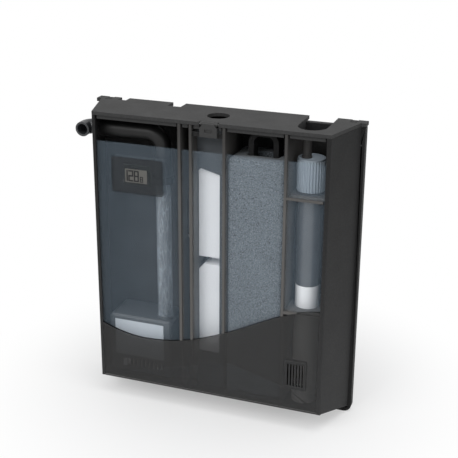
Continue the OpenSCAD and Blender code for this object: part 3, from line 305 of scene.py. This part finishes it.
def moulded_grain_group():
    """Fine spark-eroded grain of a moulding, with the broad cloudy tone of cooled plastic."""
    tree, given, out = new_group(
        "moulded grain",
        {
            "Colour": (0.05, 0.05, 0.05, 1), "Roughness": 0.5, "Grains per metre": 1500.0,
            "Cloud": 0.15, "Speckle": 0.15,
        },
        {"Colour": "NodeSocketColor", "Roughness": "NodeSocketFloat", "Height": "NodeSocketFloat"},
    )
    speckles_per_grain = 0.16
    clouds_per_metre = 34.0
    flow_lines_per_metre = 15.0
    grain_in_tone = 0.6
    cloud_in_roughness = 0.22
    grain = spots(tree, given["Grains per metre"], 3.0)
    speckles_per_metre = maths(tree, "MULTIPLY", given["Grains per metre"], speckles_per_grain)
    speckle = spots(tree, speckles_per_metre, 3.0, roughness=0.7)
    cloud = spots(tree, clouds_per_metre, 3.0)
    flow = spots(tree, flow_lines_per_metre, stretch=(1, 1, 0.25))
    tone = maths(tree, "ADD", about_zero(tree, cloud), about_zero(tree, flow))
    tone = maths(tree, "MULTIPLY_ADD", about_zero(tree, grain), grain_in_tone, tone)
    tone = maths(tree, "MULTIPLY_ADD", tone, given["Cloud"], 1.0)
    tone = maths(tree, "MULTIPLY_ADD", about_zero(tree, speckle), given["Speckle"], tone)
    rough = maths(
        tree, "MULTIPLY_ADD", about_zero(tree, cloud), cloud_in_roughness, given["Roughness"]
    )
    tree.links.new(shade(tree, given["Colour"], tone), out["Colour"])
    tree.links.new(rough, out["Roughness"])
    tree.links.new(maths(tree, "ADD", grain, speckle), out["Height"])
    return tree


def cast_sheet_group():
    """Clear sheet: faint limescale, wiped streaks and a slow waviness of the face."""
    tree, given, out = new_group(
        "clear sheet",
        {"Colour": (0.5, 0.5, 0.5, 1), "Alpha": 0.1, "Spread": 0.2, "Roughness": 0.2},
        {
            "Colour": "NodeSocketColor", "Alpha": "NodeSocketFloat",
            "Roughness": "NodeSocketFloat", "Height": "NodeSocketFloat",
        },
    )
    lime_marks_per_metre = 48.0
    streaks_per_metre = 160.0
    waves_per_metre = 26.0
    lime = spots(tree, lime_marks_per_metre, 5.0, roughness=0.6)
    wiped = spots(tree, streaks_per_metre, stretch=(1, 1, 0.1))
    marks = maths(tree, "ADD", about_zero(tree, lime), about_zero(tree, wiped))
    spread = maths(tree, "MULTIPLY_ADD", marks, given["Spread"], 1.0)
    tree.links.new(shade(tree, given["Colour"], spread), out["Colour"])
    tree.links.new(maths(tree, "MULTIPLY", given["Alpha"], spread), out["Alpha"])
    tree.links.new(maths(tree, "MULTIPLY", given["Roughness"], spread), out["Roughness"])
    tree.links.new(spots(tree, waves_per_metre, 1.0), out["Height"])
    return tree


def foam_pores_group():
    """Open cells of foam: dark pores, pale fibre tips and a slow change of tone."""
    tree, given, out = new_group(
        "foam pores",
        {"Colour": (0.2, 0.2, 0.2, 1), "Pores per metre": 900.0, "Contrast": 0.5},
        {"Colour": "NodeSocketColor", "Height": "NodeSocketFloat"},
    )
    specks_per_pore = 0.9
    tips_per_pore = 0.7
    slow_spots_per_metre = 22.0
    middle_of_cell = 0.42
    pore_to_tip = (0.62, 0.72)
    speck_in_tone, slow_in_tone, tip_in_tone = 2.4, 0.25, 0.9
    mean_tone = 0.94
    pore_depth = -0.8
    pores = given["Pores per metre"]
    distance = cell_distance(tree, pores)
    speck = spots(tree, maths(tree, "MULTIPLY", pores, specks_per_pore), roughness=0.7)
    tips = ramp(tree, spots(tree, maths(tree, "MULTIPLY", pores, tips_per_pore)), *pore_to_tip)
    slow = spots(tree, slow_spots_per_metre)
    tone = maths(tree, "SUBTRACT", middle_of_cell, distance)
    tone = maths(tree, "MULTIPLY_ADD", about_zero(tree, speck), speck_in_tone, tone)
    tone = maths(tree, "MULTIPLY_ADD", tone, given["Contrast"], mean_tone)
    tone = maths(tree, "MULTIPLY_ADD", about_zero(tree, slow), slow_in_tone, tone)
    tone = maths(tree, "MULTIPLY_ADD", tips, tip_in_tone, tone)
    tree.links.new(shade(tree, given["Colour"], tone), out["Colour"])
    tree.links.new(maths(tree, "MULTIPLY_ADD", distance, pore_depth, speck), out["Height"])
    return tree


def drawn_streaks_group():
    """Fine upright streaks of an extruded tube or a turned pin, and a mask of swirls of lime."""
    tree, given, out = new_group(
        "drawn streaks",
        {"Colour": (0.5, 0.5, 0.5, 1), "Streaks per metre": 500.0, "Spread": 0.2},
        {"Colour": "NodeSocketColor", "Mask": "NodeSocketFloat", "Height": "NodeSocketFloat"},
    )
    waves_per_metre = 55.0
    swirls_per_metre = 170.0
    lime_to_clean = (0.015, 0.05)     # distance from the middle line of a swirl
    fine = spots(tree, given["Streaks per metre"], 3.0, stretch=(1, 1, 0.06))
    wavy = spots(tree, waves_per_metre, 4.0, stretch=(1, 1, 0.35), roughness=0.6)
    tone = maths(tree, "ADD", about_zero(tree, fine), about_zero(tree, wavy))
    tone = maths(tree, "MULTIPLY_ADD", tone, given["Spread"], 1.0)
    swirl = about_zero(tree, spots(tree, swirls_per_metre, stretch=(1, 1, 0.25)))
    lime = ramp(tree, maths(tree, "ABSOLUTE", swirl), *lime_to_clean, 1.0, 0.0)
    tree.links.new(shade(tree, given["Colour"], tone), out["Colour"])
    tree.links.new(lime, out["Mask"])
    tree.links.new(fine, out["Height"])
    return tree


def sintered_grains_group():
    """Sintered grains of a ceramic, a magnet or a filter medium."""
    tree, given, out = new_group(
        "sintered grains",
        {"Colour": (0.5, 0.5, 0.5, 1), "Grains per metre": 700.0, "Spread": 0.3},
        {"Colour": "NodeSocketColor", "Height": "NodeSocketFloat"},
    )
    dust_specks_per_metre = 240.0
    mean_of_both = 0.9
    distance = cell_distance(tree, given["Grains per metre"])
    tone = maths(tree, "ADD", distance, spots(tree, dust_specks_per_metre, 4.0))
    tone = maths(tree, "SUBTRACT", tone, mean_of_both)
    tone = maths(tree, "MULTIPLY_ADD", tone, given["Spread"], 1.0)
    tree.links.new(shade(tree, given["Colour"], tone), out["Colour"])
    tree.links.new(distance, out["Height"])
    return tree


EDGES = edge_highlight_group()
GRAIN = moulded_grain_group()
SHEET = cast_sheet_group()
PORES = foam_pores_group()
STREAKS = drawn_streaks_group()
SINTER = sintered_grains_group()


# ---------- materials ----------

def start_material(name, group, colour, values):
    """A material whose shader takes its colour from a group."""
    made = bpy.data.materials.new(name)
    made.use_nodes = True
    tree = made.node_tree
    shader = tree.nodes["Principled BSDF"]
    effect = tree.nodes.new("ShaderNodeGroup")
    effect.node_tree = group
    effect.inputs["Colour"].default_value = (*colour, 1)
    for label, value in values.items():
        effect.inputs[label].default_value = value
    tree.links.new(effect.outputs["Colour"], shader.inputs["Base Color"])
    return made, tree, shader, effect


def shader_of(made):
    """The node tree of a finished material, its shader and what feeds the shader's colour."""
    tree = made.node_tree
    shader = tree.nodes["Principled BSDF"]
    return tree, shader, shader.inputs["Base Color"].links[0].from_socket


def add_bump(tree, shader, height, depth, strength=0.5, normal=None):
    bump = tree.nodes.new("ShaderNodeBump")
    bump.inputs["Strength"].default_value = strength
    bump.inputs["Distance"].default_value = depth
    tree.links.new(height, bump.inputs["Height"])
    if normal:
        tree.links.new(normal, bump.inputs["Normal"])
    tree.links.new(bump.outputs[0], shader.inputs["Normal"])


def paint_edge_highlights(made, radius, highlight_colour):
    """Paints a highlight along the edges in a paler colour. Returns the rounded normal."""
    tree, shader, colour = shader_of(made)
    edges = tree.nodes.new("ShaderNodeGroup")
    edges.node_tree = EDGES
    edges.inputs["Radius"].default_value = radius
    # painted highlight along the edges, in the paler highlight colour
    highlighted = blend_to(tree, edges.outputs["Mask"], colour, highlight_colour)
    tree.links.new(highlighted, shader.inputs["Base Color"])
    return edges.outputs["Normal"]


def moulded(
    name, colour, roughness=0.5, grains=3500, cloud=0.14, speckle=0.14,
    gloss=0.25, edge_highlight=1.5, radius=0.6 * MM
):
    """Injection-moulded plastic or rubber. edge_highlight is how much paler the painted highlight
    along its edges is.
    """
    made, tree, shader, effect = start_material(name, GRAIN, colour, {
        "Roughness": roughness, "Grains per metre": grains, "Cloud": cloud, "Speckle": speckle,
    })
    palest = 0.9
    tree.links.new(effect.outputs["Roughness"], shader.inputs["Roughness"])
    shader.inputs["Specular IOR Level"].default_value = gloss
    # the painted edge highlight is a paler copy of the colour
    rounded = paint_edge_highlights(made, radius, [min(palest, channel * edge_highlight) for channel in colour])
    add_bump(tree, shader, effect.outputs["Height"], 0.008 * MM, normal=rounded)
    return made


def clear_sheet(name, colour, alpha, roughness, spread):
    """Cast or moulded sheet that lets what is behind it show."""
    made, tree, shader, effect = start_material(name, SHEET, colour, {
        "Alpha": alpha, "Roughness": roughness, "Spread": spread,
    })
    tree.links.new(effect.outputs["Alpha"], shader.inputs["Alpha"])
    tree.links.new(effect.outputs["Roughness"], shader.inputs["Roughness"])
    shader.inputs["Specular IOR Level"].default_value = 0.2
    add_bump(tree, shader, effect.outputs["Height"], 0.2 * MM, strength=0.3)
    return made


def foam(name, colour, pores, contrast):
    made, tree, shader, effect = start_material(name, PORES, colour, {
        "Pores per metre": pores, "Contrast": contrast,
    })
    shader.inputs["Roughness"].default_value = 0.95
    shader.inputs["Specular IOR Level"].default_value = 0.08
    shader.inputs["Sheen Weight"].default_value = 0.15
    add_bump(tree, shader, effect.outputs["Height"], 0.8 * MM, strength=0.8)
    return made


def drawn(name, colour, roughness, streaks, spread, metallic=0.0, coat=0.0):
    """Extruded tube or turned metal, with streaks along it."""
    made, tree, shader, effect = start_material(name, STREAKS, colour, {
        "Streaks per metre": streaks, "Spread": spread,
    })
    shader.inputs["Roughness"].default_value = roughness
    shader.inputs["Metallic"].default_value = metallic
    shader.inputs["Coat Weight"].default_value = coat
    shader.inputs["Coat Roughness"].default_value = 0.08
    add_bump(tree, shader, effect.outputs["Height"], 0.04 * MM, strength=0.3)
    return made


def sintered(name, colour, roughness, grains, spread):
    made, tree, shader, effect = start_material(name, SINTER, colour, {
        "Grains per metre": grains, "Spread": spread,
    })
    shader.inputs["Roughness"].default_value = roughness
    add_bump(tree, shader, effect.outputs["Height"], 0.2 * MM, strength=0.4)
    return made


def clear_the_wall(made, alpha):
    """A drawn tube's wall turns clear, but less so at its rims and where lime has dried on it."""
    tree, shader, colour = shader_of(made)
    alpha_of_lime = 0.14
    alpha_of_rim = 0.45
    rim = tree.nodes.new("ShaderNodeLayerWeight")
    rim.inputs["Blend"].default_value = 0.3
    lime = colour.node.outputs["Mask"]
    marked = maths(tree, "MULTIPLY_ADD", lime, alpha_of_lime, alpha)
    marked = maths(tree, "MULTIPLY_ADD", rim.outputs["Facing"], alpha_of_rim, marked)
    tree.links.new(marked, shader.inputs["Alpha"])
    shader.inputs["Subsurface Weight"].default_value = 0.8
    shader.inputs["Subsurface Radius"].default_value = (1, 1, 1)
    shader.inputs["Subsurface Scale"].default_value = 20 * MM


def darken_top_edge(made, edge_colour):
    """Gives faces that look up the dark, solid tone of a sheet's cut edge."""
    tree, shader, colour = shader_of(made)
    sideways_to_up = (0.35, 0.6)      # upright share of the normal
    normal = tree.nodes.new("ShaderNodeTexCoord").outputs["Normal"]
    mask = ramp(tree, z_of(tree, normal), *sideways_to_up)
    tree.links.new(blend_to(tree, mask, colour, edge_colour), shader.inputs["Base Color"])
    sheer = shader.inputs["Alpha"].links[0].from_socket
    tree.links.new(maths(tree, "MAXIMUM", mask, sheer), shader.inputs["Alpha"])


def paint_shade_by_height(made, top, foot, top_z, foot_z):
    """Painted shading by height: the colour is scaled by foot at foot_z and by top at top_z, with
    even steps between.
    """
    tree, shader, colour = shader_of(made)
    height = z_of(tree, piece_coordinates(tree))
    tone = ramp(tree, height, foot_z, top_z, foot, top)
    # painted shade and light, scaled by height
    tree.links.new(shade(tree, colour, tone), shader.inputs["Base Color"])


def make_materials():
    """One material for each slot of the record."""
    made = {
        "plate_black": moulded(
            "plate moulding", (0.02, 0.02, 0.02), roughness=0.55, grains=3300,
            gloss=0.1, edge_highlight=2.2, radius=1.0 * MM,
        ),
        "housing_black": moulded(
            "box moulding", (0.035, 0.035, 0.0353), roughness=0.55, speckle=1.2,
            gloss=0.08, edge_highlight=2.6, radius=1.1 * MM,
        ),
        "lid_black": moulded(
            "lid moulding", (0.04, 0.04, 0.04), roughness=0.6, grains=3200, cloud=0.1,
            speckle=0.8, gloss=0.1, edge_highlight=1.6,
        ),
        "latch_black": moulded(
            "latch moulding", (0.036, 0.036, 0.036), roughness=0.45, grains=3700, gloss=0.2
        ),
        "partition_black": moulded("partition moulding", (0.092, 0.089, 0.086), gloss=0.1),
        "strainer_grey": moulded("strainer moulding", (0.62, 0.6, 0.58), grains=3400),
        "inner_grey": moulded("inner moulding", (0.06, 0.066, 0.072), gloss=0.15),
        "window_clear": clear_sheet(
            "window sheet", (0.6, 0.76, 0.92), alpha=0.042, roughness=0.2, spread=0.16
        ),
        "fascia_smoke": clear_sheet(
            "smoked fascia", (0.05, 0.0495, 0.049), alpha=0.6, roughness=0.45, spread=0.08
        ),
        "gauge_smoke": clear_sheet(
            "smoked panel", (0.063, 0.071, 0.079), alpha=0.36, roughness=0.4, spread=0.1
        ),
        "display_grey": clear_sheet(
            "display glass", (0.14, 0.137, 0.128), alpha=0.8, roughness=0.3, spread=0.1
        ),
        "digit_black": moulded("display segments", (0.012, 0.013, 0.014), grains=4500),
        "board_green": moulded(
            "circuit board", (0.012, 0.02, 0.015), roughness=0.4, grains=900, cloud=0.5
        ),
        "steel": drawn(
            "turned steel", (0.28, 0.285, 0.29), roughness=0.5, streaks=900, spread=0.15,
            metallic=1.0,
        ),
        "pump_grey": moulded(
            "pump moulding", (0.051, 0.056, 0.061), roughness=0.42, grains=3400,
            gloss=0.35, edge_highlight=2.0,
        ),
        "pump_panel": moulded(
            "unprinted pump panel", (0.52, 0.56, 0.6), roughness=0.45, grains=3800,
            cloud=0.06, speckle=0.06,
        ),
        "white_plastic": moulded(
            "white moulding", (0.9, 0.91, 0.92), roughness=0.35, cloud=0.05, speckle=0.05,
            gloss=0.4,
        ),
        "cartridge_white": moulded(
            "cartridge moulding", (0.91, 0.92, 0.94), cloud=0.05, speckle=0.05
        ),
        "media_core": sintered(
            "filter medium", (0.33, 0.29, 0.25), roughness=0.9, grains=450, spread=0.6
        ),
        "ferrite": sintered(
            "magnet", (0.05, 0.045, 0.04), roughness=0.6, grains=900, spread=0.4
        ),
        "shaft_ceramic": sintered(
            "ceramic shaft", (0.8, 0.79, 0.75), roughness=0.3, grains=1600, spread=0.08
        ),
        "coil_iron": sintered(
            "potted coil", (0.2, 0.1, 0.05), roughness=0.5, grains=400, spread=0.4
        ),
        "rubber_black": moulded(
            "soft rubber", (0.016, 0.016, 0.016), roughness=0.75, grains=2000, gloss=0.15
        ),
        "tube_clear": drawn(
            "clear tube", (0.44, 0.51, 0.58), roughness=0.1, streaks=420, spread=1.5, coat=0.4
        ),
        "pipe_black": moulded("pipe moulding", (0.008, 0.008, 0.008), roughness=0.42, gloss=0.32),
        "nozzle_black": moulded(
            "nozzle moulding", (0.03, 0.032, 0.035), roughness=0.32, grains=3600, gloss=0.5
        ),
        "heater_grey": drawn(
            "heater tube", (0.073, 0.079, 0.087), roughness=0.28, streaks=300, spread=0.12,
            coat=0.3,
        ),
        "dial_grey": moulded("dial moulding", (0.25, 0.29, 0.33), roughness=0.45, cloud=0.12),
        "heater_ceramic": sintered(
            "ceramic former", (0.5, 0.42, 0.32), roughness=0.8, grains=600, spread=0.3
        ),
        "foam_grey": foam("filter foam", (0.15, 0.168, 0.183), pores=1050, contrast=1.2),
    }
    clear_the_wall(made["tube_clear"], alpha=0.22)
    darken_top_edge(made["fascia_smoke"], (0.002, 0.002, 0.002))
    box_foot, box_top = cad_box[0].z, cad_box[1].z
    # painted shading on the box: darker towards the top, paler towards the foot
    paint_shade_by_height(made["housing_black"], 0.5, 1.15, top_z=box_top, foot_z=box_foot)
    # painted shade under the lid on the partitions, darker towards the top
    paint_shade_by_height(made["partition_black"], 0.5, 1.13, top_z=165 * MM, foot_z=90 * MM)
    return made


def dress_nodes(materials):
    for part in frame["record"]["subparts"]:
        mesh = nodes[part["node"]].data
        mesh.materials.clear()
        mesh.materials.append(materials[part["material_slot"]])


# ---------- edges of the mouldings ----------

EDGE_WIDTHS = {
    0.8 * MM: ("pump_body", "pump_cover", "cartridge_upper", "cartridge_lower", "heater_end_cap"),
    0.6 * MM: ("housing_shell", "mounting_plate", "foam_handle"),
    0.5 * MM: ("lid", "thermometer_case"),
    0.3 * MM: (
        "latch", "partition_pump", "partition_channel", "partition_cartridge", "partition_foam",
        "intake_grille", "riser_tube", "outlet_nozzle", "elbow_pipe", "media_rack",
    ),
    0.2 * MM: ("pump_face_plate",),
}
SAME_POINT = 1e-6                     # points of the mesh closer than this are one


def round_edges(name, width):
    """A small real radius on a moulding's sharp edges."""
    obj = nodes[name]
    weld = obj.modifiers.new("join", "WELD")
    weld.merge_threshold = SAME_POINT
    bevel = obj.modifiers.new("radius", "BEVEL")
    bevel.width = width
    bevel.segments = 2
    bevel.angle_limit = math.radians(35)
    obj.modifiers.new("even", "WEIGHTED_NORMAL")


# ---------- foam block ----------

def skin_height(place):
    """How far the cut skin of the foam stands out or in at a place."""
    bumps_per_metre, bump_height = 420, 0.22 * MM
    swells_per_metre, swell_height = 60, 0.3 * MM
    bump = noise.noise(place * bumps_per_metre) * bump_height
    return bump + noise.noise(place * swells_per_metre) * swell_height


def make_foam_block(material):
    """The block as it is cut from open-cell foam: soft corners and an uneven skin."""
    set_back = 0.4 * MM               # keeps the highest bumps inside the plain block
    source = nodes["foam_block"]
    mesh = source.data.copy()
    block = bpy.data.objects.new("foam_body", mesh)
    scene.collection.objects.link(block)
    shell = bmesh.new()
    shell.from_mesh(mesh)
    bmesh.ops.remove_doubles(shell, verts=shell.verts, dist=SAME_POINT)
    shell.to_mesh(mesh)
    shell.free()
    remesh = block.modifiers.new("even mesh", "REMESH")
    remesh.voxel_size = 2.2 * MM
    depsgraph = bpy.context.evaluated_depsgraph_get()
    fine = bpy.data.meshes.new_from_object(block.evaluated_get(depsgraph))
    block.modifiers.clear()
    block.data = fine
    skin = bmesh.new()
    skin.from_mesh(fine)
    bmesh.ops.smooth_vert(
        skin, verts=skin.verts, factor=0.5, use_axis_x=True, use_axis_y=True, use_axis_z=True
    )
    skin.normal_update()
    for vert in skin.verts:
        vert.co += vert.normal * (skin_height(vert.co) - set_back)
    skin.to_mesh(fine)
    skin.free()
    fine.materials.clear()
    fine.materials.append(material)
    for face in fine.polygons:
        face.use_smooth = True
    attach(block, "foam")
    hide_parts("foam_block")


# ---------- the whole ----------

add_camera()
add_world()
add_floor(cad_box[0].z)
add_lamp("key", (-0.9, -1.9, 1.7), width=1.2, height=1.2, watts=29)
add_lamp("fill", (1.9, -1.2, 0.45), width=1.2, height=1.4, watts=5.5)
add_lamp("top", (0.6, -0.5, 1.8), width=1.4, height=1.2, watts=17)

materials = make_materials()
dress_nodes(materials)
make_foam_block(materials["foam_grey"])
for width, names in EDGE_WIDTHS.items():
    for name in names:
        round_edges(name, width)

scene.view_settings.view_transform = "Standard"
